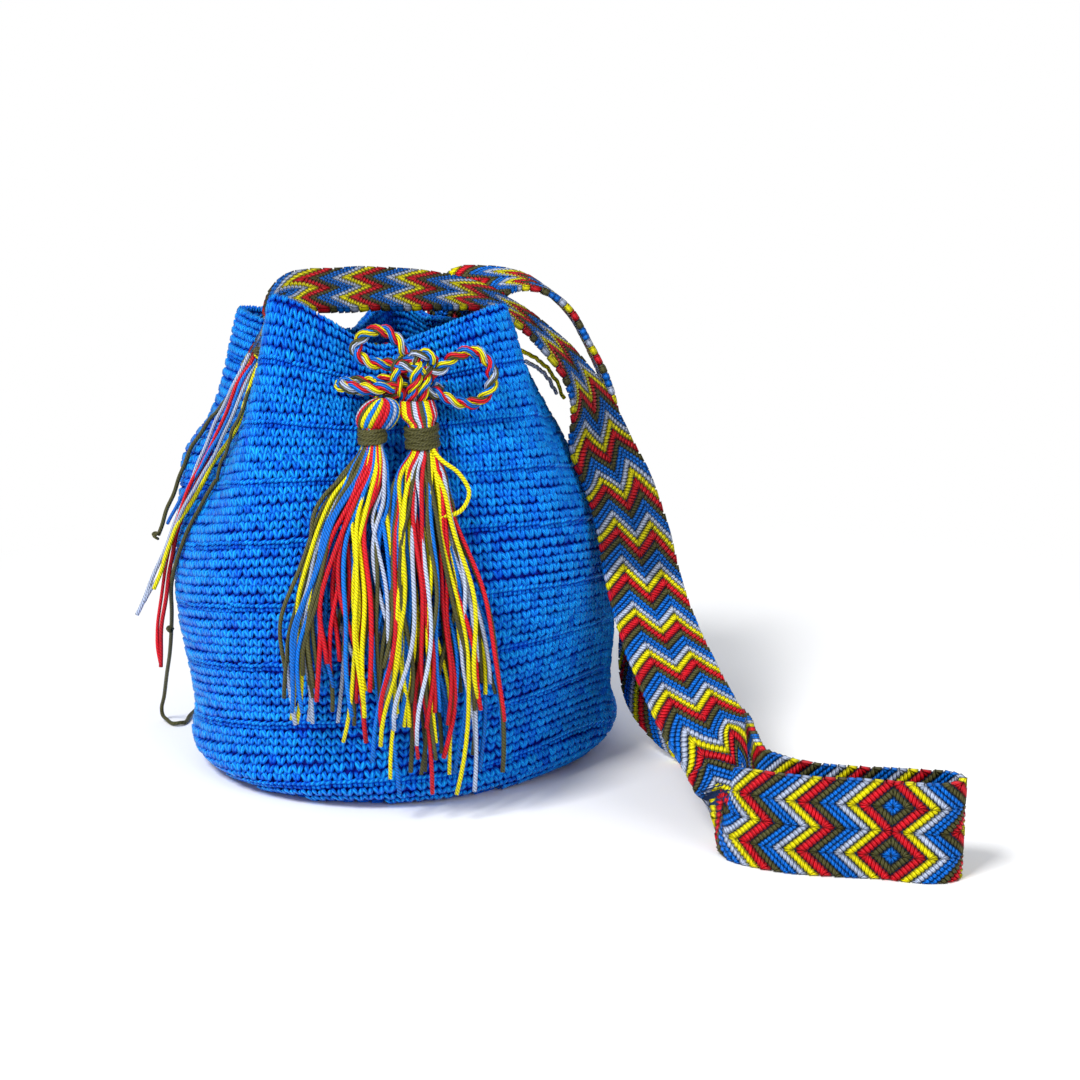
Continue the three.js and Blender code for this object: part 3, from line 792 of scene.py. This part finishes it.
knots, knot_dyes = [], []
for side in (-1, 1):
    for number in range(int(np.searchsorted(row_tops, strap_length + 20))):
        row = row_of_knots(side, number)
        knots.append(row)
        knot_dyes.append(np.tile(yarn_dyes[row_dyes[number]], (len(row), 1)))
knots, knot_dyes = np.concatenate(knots), np.concatenate(knot_dyes)
order = np.argsort(knots[:, :, 0].mean(1), kind="stable")
reverse_length = 330
reverse_shade = 0.6


def strap_knots(name, chosen):
    """Knots laid on the band. Over the mouth it shows its reverse, where the colours are duller."""
    count = len(chosen)
    corners = on_strap(*(knots[chosen][..., i] for i in range(3))).reshape(-1, 3)
    faces = (knot_faces + (np.arange(count) * len(knot_shape))[:, None, None]).reshape(-1, 4)
    reverse = np.where(knots[chosen][:, 0, :1] < reverse_length, reverse_shade, 1.0)
    shade = chance.normal(1, hand_shade, (count, 1)).clip(0.75, 1.25)
    colours = np.repeat(knot_dyes[chosen] * reverse * shade, len(knot_shape), axis=0)
    way = np.tile(knot_way, (count, 1, 1))
    piece = make_piece(name, corners, faces, strap_yarn, colours, way, bake_cells(len(faces)))
    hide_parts("shoulder_strap")
    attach(piece, "root")
    return piece


half = len(order) // 2
strap_near = strap_knots("strap_knots_mouth", order[:half])
strap_far = strap_knots("strap_knots_floor", order[half:])
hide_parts("shoulder_strap")
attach(strap_core, "root")

# Drawstring. Two thick strands, each of four cotton yarns in the strap's colours, twisted into one
# cord that passes in and out of the gathered neck through gaps between the stitches.
cord_width = 7.5
cord_lay = 13.0
strand_reach, yarn_reach, yarn_half = 0.2, 0.13, 0.165
strand_dyes = [["yellow", "red", "olive", "pale"], ["blue", "yellow", "blue", "red"]]
# groove=1.5 widens the painted shade in the twist lines between the yarns of the cord.
cord_yarn = yarn_finish(
    "cord_yarn", plies=5.0, pitch=9.0, depth=0.85, roughness=0.45, gloss=plain_gloss, groove=1.5
)
cord_side = (0.13, 0.21, 0.97)


def twisted_cord(name, stops, width, start_turn=0.0, slim=(1.0, 1.0), step=1.4):
    """Two strands of four yarns, laid round each other along a line, and slimmer at its ends if asked."""
    rough = smooth_line(stops, 400)
    walk = walk_along(rough)
    count = max(12, int(walk[-1] / step))
    even = np.linspace(0, walk[-1], count)
    line = np.stack([np.interp(even, walk, rough[:, i]) for i in range(3)], -1)
    side, up = carried_frame(line, cord_side)
    share = np.linspace(0, 1, count)
    taper = np.minimum(1, np.minimum(slim[0] + share * 8, slim[1] + (1 - share) * 8))

    def circling(middle, reach, turn):
        spoke = np.cos(turn)[:, None] * side + np.sin(turn)[:, None] * up
        return middle + (width * reach * taper)[:, None] * spoke

    parts = []
    for strand, dyes in enumerate(strand_dyes):
        turn = start_turn + 2 * math.pi * even / cord_lay + math.pi * strand
        middle = circling(line, strand_reach, turn)
        for yarn, dye in enumerate(dyes):
            path = circling(middle, yarn_reach, turn * 0.35 + 2 * math.pi * yarn / len(dyes))
            corners, faces, way = yarn_tube(path, width * yarn_half * taper, 6)
            colours = np.repeat([yarn_dyes[dye]], len(corners), axis=0) * chance.normal(1, 0.05)
            parts.append((corners, faces, colours, way))
    corners, faces, colours, way = joined(parts)
    piece = make_piece(name, corners, faces, cord_yarn, colours, way)
    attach(piece, "root")
    return piece, line / 1000, walk[-1] / 1000


neck_height = 203
neck_stops = [
    (281, -9.5), (274, -11.5), (265, -15), (255, -18), (240, -20), (222, -25), (207, -29.5), (185, -30.5),
    (163, -29.5), (148, -22), (134, -16), (122, -16), (111, -16), (100, -16.5), (88, -16.5), (70, -20),
    (43, -23), (15, -22), (350, -17), (325, -12.5), (308, -11.5), (298, -10.5),
]
drawstring, drawstring_line, drawstring_length = twisted_cord(
    "drawstring_cord", [beside_wall(b, neck_height, out) for b, out in neck_stops], cord_width, step=2.0
)
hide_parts("drawstring")

# Bow at the front fold. The two ends of the drawstring are tied in a bow: three loops stand out
# from a tight knot of the same cord.
knot_middle = beside_wall(288, 209, -5)


def bow_line(stops):
    return [knot_middle + np.array([right, -out, up]) for right, up, out in stops]


bow_loops = {
    "bow_loop_left_upper": [
        (-2, 5, 3), (-11, 7.5, 4), (-21, 8.5, 4), (-27, 14, 3), (-23, 21.5, 2), (-14, 24, 2), (-7, 19.5, 3),
        (-2, 12.5, 3),
    ],
    "bow_loop_left_lower": [
        (-3, -3, 6), (-13, -2.5, 14.2), (-24, -2.5, 14.5), (-32, -2, 13), (-34, -1.5, 9), (-30, -1, 6),
        (-22, -0.5, 5.8), (-12, 0, 6.2), (-3, 1, -1.5),
    ],
    "bow_loop_right": [
        (2, 3, 3), (12, 4, 5), (21, 11, 5), (30, 14, 4), (38, 8, 3), (39, -3, 3), (32, -11, 4),
        (21, -10.5, 6), (11, -6, 6), (2, -4, 3),
    ],
}
loop_width, wrap_width = cord_width * 0.94, cord_width * 0.9
for turn, (name, stops) in enumerate(bow_loops.items()):
    loop, line, length = twisted_cord(name + "_cord", bow_line(stops), loop_width, start_turn=0.7 * turn)
    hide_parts(name)

knot_wraps = [
    ([(-9, 5, 1), (-5, 7, 8), (2, 6.5, 9.5), (7, 4, 7), (9, 0, 1), (6, -4, -5)], 0.2),
    ([(-4, 11, 0), (-6.5, 7, 7), (-7, 1, 9.5), (-5, -6, 9), (-5, -11, 4)], 1.4),
    ([(2, 12, 2), (3.5, 8, 8.5), (2.5, 1, 11.5), (0, -7, 9.5), (0.5, -12, 5)], 2.6),
    ([(7, 9, 1), (8, 5, 6), (6.5, -2, 9.5), (5, -9, 8), (6, -12, 3)], 0.9),
    ([(-3, 8, 4), (2, 12, 6), (7, 13, 6.5), (10.5, 11, 6), (11.5, 8, 5)], 2.0),
    ([(-6, -2, 5), (-8, -6, 9), (-11, -9, 9), (-15, -11, 7), (-19, -11, 3)], 0.4),
]
for number, (stops, turn) in enumerate(knot_wraps):
    name = f"bow_knot_wrap_{number + 1}"
    wrap = twisted_cord(name, bow_line(stops), wrap_width, start_turn=turn, slim=(0.55, 0.55))[0]
    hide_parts("bow_knot")

# Tassels. A bundle of cut cotton yarns hangs from each end of the drawstring, wound tight with
# olive yarn at its neck, and fans out over the front of the bag in loose, slightly curling ends.
# Each row is a bearing, a height and a distance from the wall, then half the width and the depth.
tassel_sections = {
    "left": [
        (271.9, 188.5, 1.5, 5.2, 5.2), (271.8, 181, 4.4, 5.2, 5.2), (270.3, 171, 9.5, 9.5, 6.5),
        (267.7, 160, 11.5, 15, 7), (265.3, 145, 13, 19, 7), (263.8, 116, 13, 24, 7),
        (262.5, 87, 13.5, 28, 6.5), (260.6, 36, 16, 30, 5.5),
    ],
    "right": [
        (287.5, 199, -2, 9, 6.5), (287, 193.5, 1, 9.6, 8), (287.2, 189, 2.4, 6.7, 6.7),
        (286.3, 178.5, 5.7, 6.7, 6.7), (284.4, 170, 10, 11, 7), (283.4, 160, 12.5, 14.5, 7),
        (282.8, 145, 14, 18.5, 7), (283.2, 116, 14.5, 23.5, 7), (282.7, 87, 15.5, 26.5, 7),
        (281.5, 55, 17, 29.5, 6), (279.3, 6, 17, 30, 5),
    ],
}
front_dyes = {
    "left": "olive yellow blue olive olive red blue yellow red"
    " blue yellow red yellow red pale olive blue",
    "right": "blue red yellow yellow red olive pale red olive"
    " blue yellow yellow red pale red pale olive",
}
inner_dyes = ["olive", "blue", "olive", "blue", "red", "yellow", "pale"]
strand_layers = ((-1, 18), (0.1, 22), (1, 25))
crossings = [0, 0, 0, -0.55, 0.55]
front_sweep = 86
tassel_yarn = yarn_finish(
    "tassel_yarn", plies=3.0, pitch=1.7, depth=0.75, roughness=0.45, gloss=plain_gloss
)
loose_from = {"left": 1 / 7, "right": 3 / 10}
luck = random.Random(5)


def hung_line(stops, count):
    return smooth_line([beside_wall(*stop) for stop in stops], count)


def tassel_strand(sections, loose, first, last, depth, sway, phase, curl, trim):
    """One yarn from the head to its cut end. Below the binding it waves and crosses its neighbours."""
    count = 56
    middle = hung_line([section[:3] for section in sections], count)
    form = smooth_line([(section[3], section[4], section[0]) for section in sections], count)
    fan = np.clip((np.linspace(0, 1, count) - loose) / (1 - loose), 0, 1)
    along = (first + (last - first) * fan) * (form[:, 0] - 1.0)
    along += sway * fan**0.8 * (np.sin(phase + 7.5 * fan) + 0.45 * np.sin(2.3 * phase + 17 * fan))
    along += curl * np.clip((fan / trim - 0.85) / 0.15, 0, 1) ** 2
    out = (depth + 0.35 * fan * np.sin(1.7 * phase + 6 * fan)) * (form[:, 1] - 1.0)
    turned = np.radians(form[:, 2] + 90)
    right = along * np.cos(turned) + out * np.sin(turned)
    back = along * np.sin(turned) - out * np.cos(turned)
    line = middle + np.stack([right, back, 0 * along], -1)
    return line[: int(count * trim)]


def dyed_tubes(name, lines):
    """Strands joined in one piece: each has its line, half its width and its dye."""
    parts = []
    for line, radius, dye in lines:
        corners, faces, way = yarn_tube(line, radius, 6, luck.uniform(0, 1))
        way[..., 0] += luck.uniform(0, 9)
        colours = np.repeat([yarn_dyes[dye]], len(corners), axis=0) * luck.uniform(0.78, 1.06)
        parts.append((corners, faces, colours, way))
    corners, faces, colours, way = joined(parts)
    corners[:, 2] = np.maximum(corners[:, 2], floor_clear)
    return make_piece(name, corners, faces, tassel_yarn, colours, way)


head_middle = beside_wall(274, 192.5, 1.0)
head_width, head_height = 9.3, 7.6
head_dyes = "olive pale red olive yellow blue yellow red red blue pale blue yellow olive".split()


def head_fold(bearing):
    """A yarn that doubles over the head of the left tassel, from the binding up to the cord."""
    angle = np.linspace(0.12, math.pi - 0.1, 40)
    wide = head_width * np.sin(angle) ** 0.8
    turn = math.radians(bearing) + 0.22 * np.cos(angle)
    right = wide * np.sin(turn) + 2.2 * np.cos(angle)
    back = -wide * np.cos(turn) * 0.9
    return head_middle + np.stack([right, back, head_height * np.cos(angle) + 1.0], -1)


stray_stops = [
    (287.5, 183, 9), (288.6, 177, 14), (289.8, 174, 16), (293.1, 168.5, 16), (294.8, 159.5, 16),
    (291.7, 151.8, 17), (286.5, 149.5, 18),
]
for side, sections in tassel_sections.items():
    dyes = front_dyes[side].split()
    loose = loose_from[side]
    lines = []
    for layer, count in strand_layers:
        for number in range(count):
            spread = 2 * (number + 0.5) / count - 1
            angle = math.radians(front_sweep * spread)
            last = spread + luck.gauss(0, 0.13) + luck.choice(crossings)
            last = max(-1.0, min(1.0, last))
            dye = luck.choice(inner_dyes)
            if layer == 1:
                dye = dyes[number * len(dyes) // count]
            curl = luck.choice([0.0, luck.uniform(-8, 8)])
            trim = luck.uniform(0.88, 1.0) if layer == 1 else luck.uniform(0.82, 0.98)
            line = tassel_strand(
                sections,
                loose,
                first=math.sin(angle),
                last=last,
                depth=layer * math.cos(angle),
                sway=luck.uniform(2.5, 5.5),
                phase=2.0 * spread + luck.gauss(0, 1.0),
                curl=curl,
                trim=trim,
            )
            lines.append((line, luck.uniform(0.97, 1.2), dye))
    if side == "left":
        lines += [(head_fold(-98 + 15 * number), 1.3, dye) for number, dye in enumerate(head_dyes)]
    else:
        lines.append((hung_line(stray_stops, 40), 1.15, "yellow"))
    skirt = dyed_tubes(f"tassel_{side}_strands", lines)
    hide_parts(f"tassel_{side}")
    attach(skirt, "root")

# Bindings. Thin olive cotton yarn, wound many times round each tassel's neck from the bottom up and
# then to and fro over the first turns, so that it holds by itself.
winding_pitch = 1.3
extra_turns = 6
# The lowest and highest turn, half the width, and the middle of the neck at its foot and top.
bindings = {
    "left": (181.5, 188.5, 5.9, (271.8, 181, 4.4), (271.9, 188.5, 1.5)),
    "right": (179, 189, 7.4, (286.3, 178.5, 5.7), (287.2, 189, 2.4)),
}
for side, (low, high, girth, lower, upper) in bindings.items():
    foot, top = beside_wall(*lower), beside_wall(*upper)
    turns = (high - low) / winding_pitch
    all_turns = turns + extra_turns
    angle = np.linspace(0, 2 * math.pi * all_turns, int(22 * all_turns))
    under = np.minimum(angle / (2 * math.pi * turns), 1)
    over = np.maximum(angle - 2 * math.pi * turns, 0)
    climb = under - 0.5 + 0.5 * np.cos(over * 0.43)
    height = low + 0.8 + (high - low - 1.6) * climb + 0.6 * np.sin(angle * 1.02)
    middle = foot + (top - foot) * ((height - lower[1]) / (upper[1] - lower[1]))[:, None]
    around = girth + 0.6 * np.minimum(over, 1) + 0.15 * np.sin(angle * 0.61)
    line = middle + np.stack([around * np.cos(angle), around * np.sin(angle), 0 * angle], -1)
    binding = dyed_tubes(f"tassel_{side}_winding", [(line, 0.85, "olive")])
    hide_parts(f"tassel_{side}_binding")
    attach(binding, "root")

# Loose yarn ends. Cotton yarn left over where the strap is sewn on: a small knot on the left fold
# holds a bunch of tails, one of which trails to the floor, and two short ends hang at the right.
yarn_width = 2.2
tails = {
    "yarn_tail_left_1": ("pale", [
        (213.9, 216.6, -4), (213, 203, -0.5), (202.6, 188.1, -3.5), (198, 172.9, -2.9), (196, 156.2, -1.7),
        (194.5, 137.2, 0.6), (193.3, 116.5, 4.4), (192.8, 96.2, 11.8), (192.6, 77.5, 21.7),
    ]),
    "yarn_tail_left_2": ("olive", [
        (213.5, 213.4, -8.7), (209.5, 201, -5.5), (196.5, 187.5, -5), (189.1, 178.4, -2.4),
        (186.1, 166.5, 1.2), (185.2, 154.4, 3.8), (184.5, 141.6, 5.6), (185.2, 129, 7), (186.6, 117.1, 9.1),
    ]),
    "yarn_tail_left_3": ("red", [
        (216.5, 215.3, -4.9), (218.5, 201.5, 0), (210.2, 184.6, -4.4), (203, 169.4, -4.5),
        (199.6, 153.9, -2.7), (197.6, 137.7, -0.8), (196.3, 120.9, 0.7), (195.5, 103.7, 3), (195, 86, 6.6),
        (194.6, 67.9, 10.6), (194.5, 49.8, 15.5),
    ]),
    "yarn_tail_left_4": ("yellow", [
        (217.8, 213.7, -8), (221.5, 203, -2.3), (221.3, 186.9, -1.1), (211.2, 172.2, -5.9),
        (205.1, 158.1, -5.3), (201.4, 143.6, -2), (198.8, 127.8, 1.8), (197.1, 110.9, 6), (196, 92.9, 11.7),
    ]),
    "yarn_tail_left_5": ("olive", [
        (210.3, 153.4, -5.7), (206.8, 141, -3.6), (204, 128.1, -1.2), (202.4, 113.9, 1.2), (195.7, 95.5, 1.9),
        (189.5, 76.8, 4), (183.6, 58, 8.8), (176.8, 38.1, 17.4), (169.5, 16.3, 24.9), (168.3, 7.5, 31.8),
        (168.8, 2.8, 36.4), (170.5, 1.6, 32.5), (171.9, 1.6, 27), (170.5, 1.6, 23.5), (166, 1.6, 24),
        (161.2, 1.6, 26.8),
    ]),
    "yarn_tail_right_1": ("yellow", [(345, 216, 0.6), (352, 211, 4), (0, 204, 7), (6, 195, 9), (9, 184, 9)]),
    "yarn_tail_right_2": ("pale", [(348, 209, 1), (356, 203, 4), (3, 196, 5.5), (8, 187, 6)]),
}


def wavy(line, size, turns, phase):
    """A hanging yarn keeps a little of the wave it had in the cloth."""
    side, up = carried_frame(line, cord_side)
    share = np.linspace(0, 1, len(line))
    swing = size * np.minimum(1, 3 * share) * np.sin(phase + 2 * math.pi * turns * share)
    nod = 0.5 * size * np.minimum(1, 3 * share) * np.sin(1.9 * phase + 4.4 * math.pi * turns * share)
    return line + swing[:, None] * side + nod[:, None] * up


def small_knot(middle, size, turns):
    """A yarn wound over itself into a tight little ball."""
    angle = np.linspace(0, 2 * math.pi * turns, int(22 * turns))
    return middle + size * np.stack(
        [
            np.cos(angle) * (0.75 + 0.25 * np.cos(angle * 0.37)),
            np.sin(angle) * (0.75 + 0.25 * np.sin(angle * 0.29)),
            0.92 * np.sin(angle * 0.61 + 0.4),
        ],
        -1,
    )


for number, (name, (dye, stops)) in enumerate(tails.items()):
    line = wavy(hung_line(stops, 80), 0.6 if "left" in name else 0.4, 2.5 + 0.3 * number, 1.3 * number)
    line[:, 2] = np.maximum(line[:, 2], yarn_width / 2)
    tail = dyed_tubes(name + "_yarn", [(line, yarn_width / 2, dye)])
    dye + "_yarn"
    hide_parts(name)
    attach(tail, "root")
    length = float(np.linalg.norm(np.diff(line, axis=0), axis=1).sum()) / 1000
    line[0] / 1000
    line[::2] / 1000

knot_centre = wall_point(np.array(218.0), np.array(216.0), -3.9)
short_ends = [
    ("blue", [
        (217, 214, -6), (219, 204, 1), (214, 188, -1), (208, 172, -2), (202, 157, -1), (194, 138, 3),
        (188, 123, 5),
    ]),
    ("red", [
        (216, 214, -5), (217, 203, 1.5), (209, 184, -2), (203, 165, -2), (199, 145, 1), (196, 122, 3),
        (192, 94, 6.5), (192.5, 75, 10.6), (193.5, 64.5, 13.8), (194.2, 52, 15.5),
    ]),
    ("pale", [
        (217, 213, -7), (220, 202, 0), (217, 186, 0), (210, 170, -3), (205, 155, -1), (201, 138, 1.5),
        (197, 120, 4), (193, 99, 8), (192.8, 84, 17),
    ]),
    ("olive", [(218, 212, -8), (222.5, 198, -1), (220, 182, 0), (214.5, 166, -3.5), (210.3, 153.4, -5.7)]),
]
lines = [
    (small_knot(knot_centre, 2.5, 4), 1.1, "olive"),
    (small_knot(knot_centre + (0, -0.6, -1.4), 2.3, 2), 0.9, "yellow"),
]
for number, (dye, stops) in enumerate(short_ends):
    line = wavy(hung_line(stops, 60), 0.5, 2.2 + 0.4 * number, 0.9 * number)
    lines.append((line, 0.95, dye))
lines.append((small_knot(beside_wall(186.6, 116.4, 9.1) + (-1.5, 0, -0.5), 1.7, 2.4), 0.8, "olive"))
lines.append((small_knot(beside_wall(185.5, 64, 7.2), 1.5, 2.2), 0.85, "olive"))
yarn_knot = dyed_tubes("yarn_knot", lines)
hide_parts("yarn_knot_left")
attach(yarn_knot, "root")

# Floor, light and camera. A plain pale floor that fades to white, one large soft lamp high at the
# front left, a weaker and wider one at the front right, and an even pale surround.
bpy.ops.mesh.primitive_plane_add(size=8, location=(0, 0, 0))
floor = bpy.context.object
floor.name = "floor"
floor_paint, start = blank_finish("floor_paint")
place = start.node("TexCoord", {}, {}, "Object")
middle = start.node("VectorMath", {"operation": "SUBTRACT"}, {0: place, 1: (0.08, -0.06, 0.0)})
away = start.node("VectorMath", {"operation": "LENGTH"}, {0: middle}, 1)
fade = {"Value": away, "From Min": 0.3, "From Max": 0.62}
far = start.node("MapRange", {"interpolation_type": "SMOOTHSTEP"}, fade)
ray = start.node("LightPath", {}, {}, "Is Camera Ray")
matt = start.node("BsdfDiffuse", {}, {"Color": (0.98, 0.98, 0.98, 1)})
white = start.node("Emission", {}, {"Color": (1, 1, 1, 1), "Strength": 1.0})
mixed = start.node("MixShader", {}, {0: far * ray, 1: matt, 2: white})
start.node("OutputMaterial", {}, {0: mixed})
floor.data.materials.append(floor_paint)

world = bpy.data.worlds.new("surround")
bpy.context.scene.world = world
world.use_nodes = True
world.node_tree.nodes.clear()
start = Tone(world.node_tree)
ray = start.node("LightPath", {}, {}, "Is Camera Ray")
soft = start.node("Background", {}, {"Color": (0.95, 0.97, 1.0, 1), "Strength": 0.55})
white = start.node("Background", {}, {"Color": (1, 1, 1, 1), "Strength": 1.0})
mixed = start.node("MixShader", {}, {0: ray, 1: soft, 2: white})
start.node("OutputWorld", {}, {0: mixed})

for name, place, aim, size, power in (
    ("key_lamp", (-1.3, -1.6, 2.6), (0.0, 0.0, 0.1), 0.9, 86.0),
    ("fill_lamp", (1.9, -2.3, 1.6), (0.05, 0.0, 0.1), 1.6, 24.0),
):
    lamp = bpy.data.lights.new(name, "AREA")
    lamp.size = size
    lamp.energy = power
    holder = bpy.data.objects.new(name, lamp)
    bpy.context.scene.collection.objects.link(holder)
    holder.location = place
    heading = np.array(aim) - np.array(place)
    flat = math.hypot(heading[0], heading[1])
    holder.rotation_euler = (math.atan2(flat, -heading[2]), 0, math.atan2(-heading[0], heading[1]))

eye = bpy.data.cameras.new("eye")
eye.lens = 71.0
eye.sensor_width = 36.0
eye_holder = bpy.data.objects.new("eye", eye)
bpy.context.scene.collection.objects.link(eye_holder)
eye_holder.location = (0.071, -1.10, 0.38)
eye_holder.rotation_euler = (math.radians(76.23), 0, 0)
bpy.context.scene.camera = eye_holder
bpy.context.scene.view_settings.view_transform = "Standard"
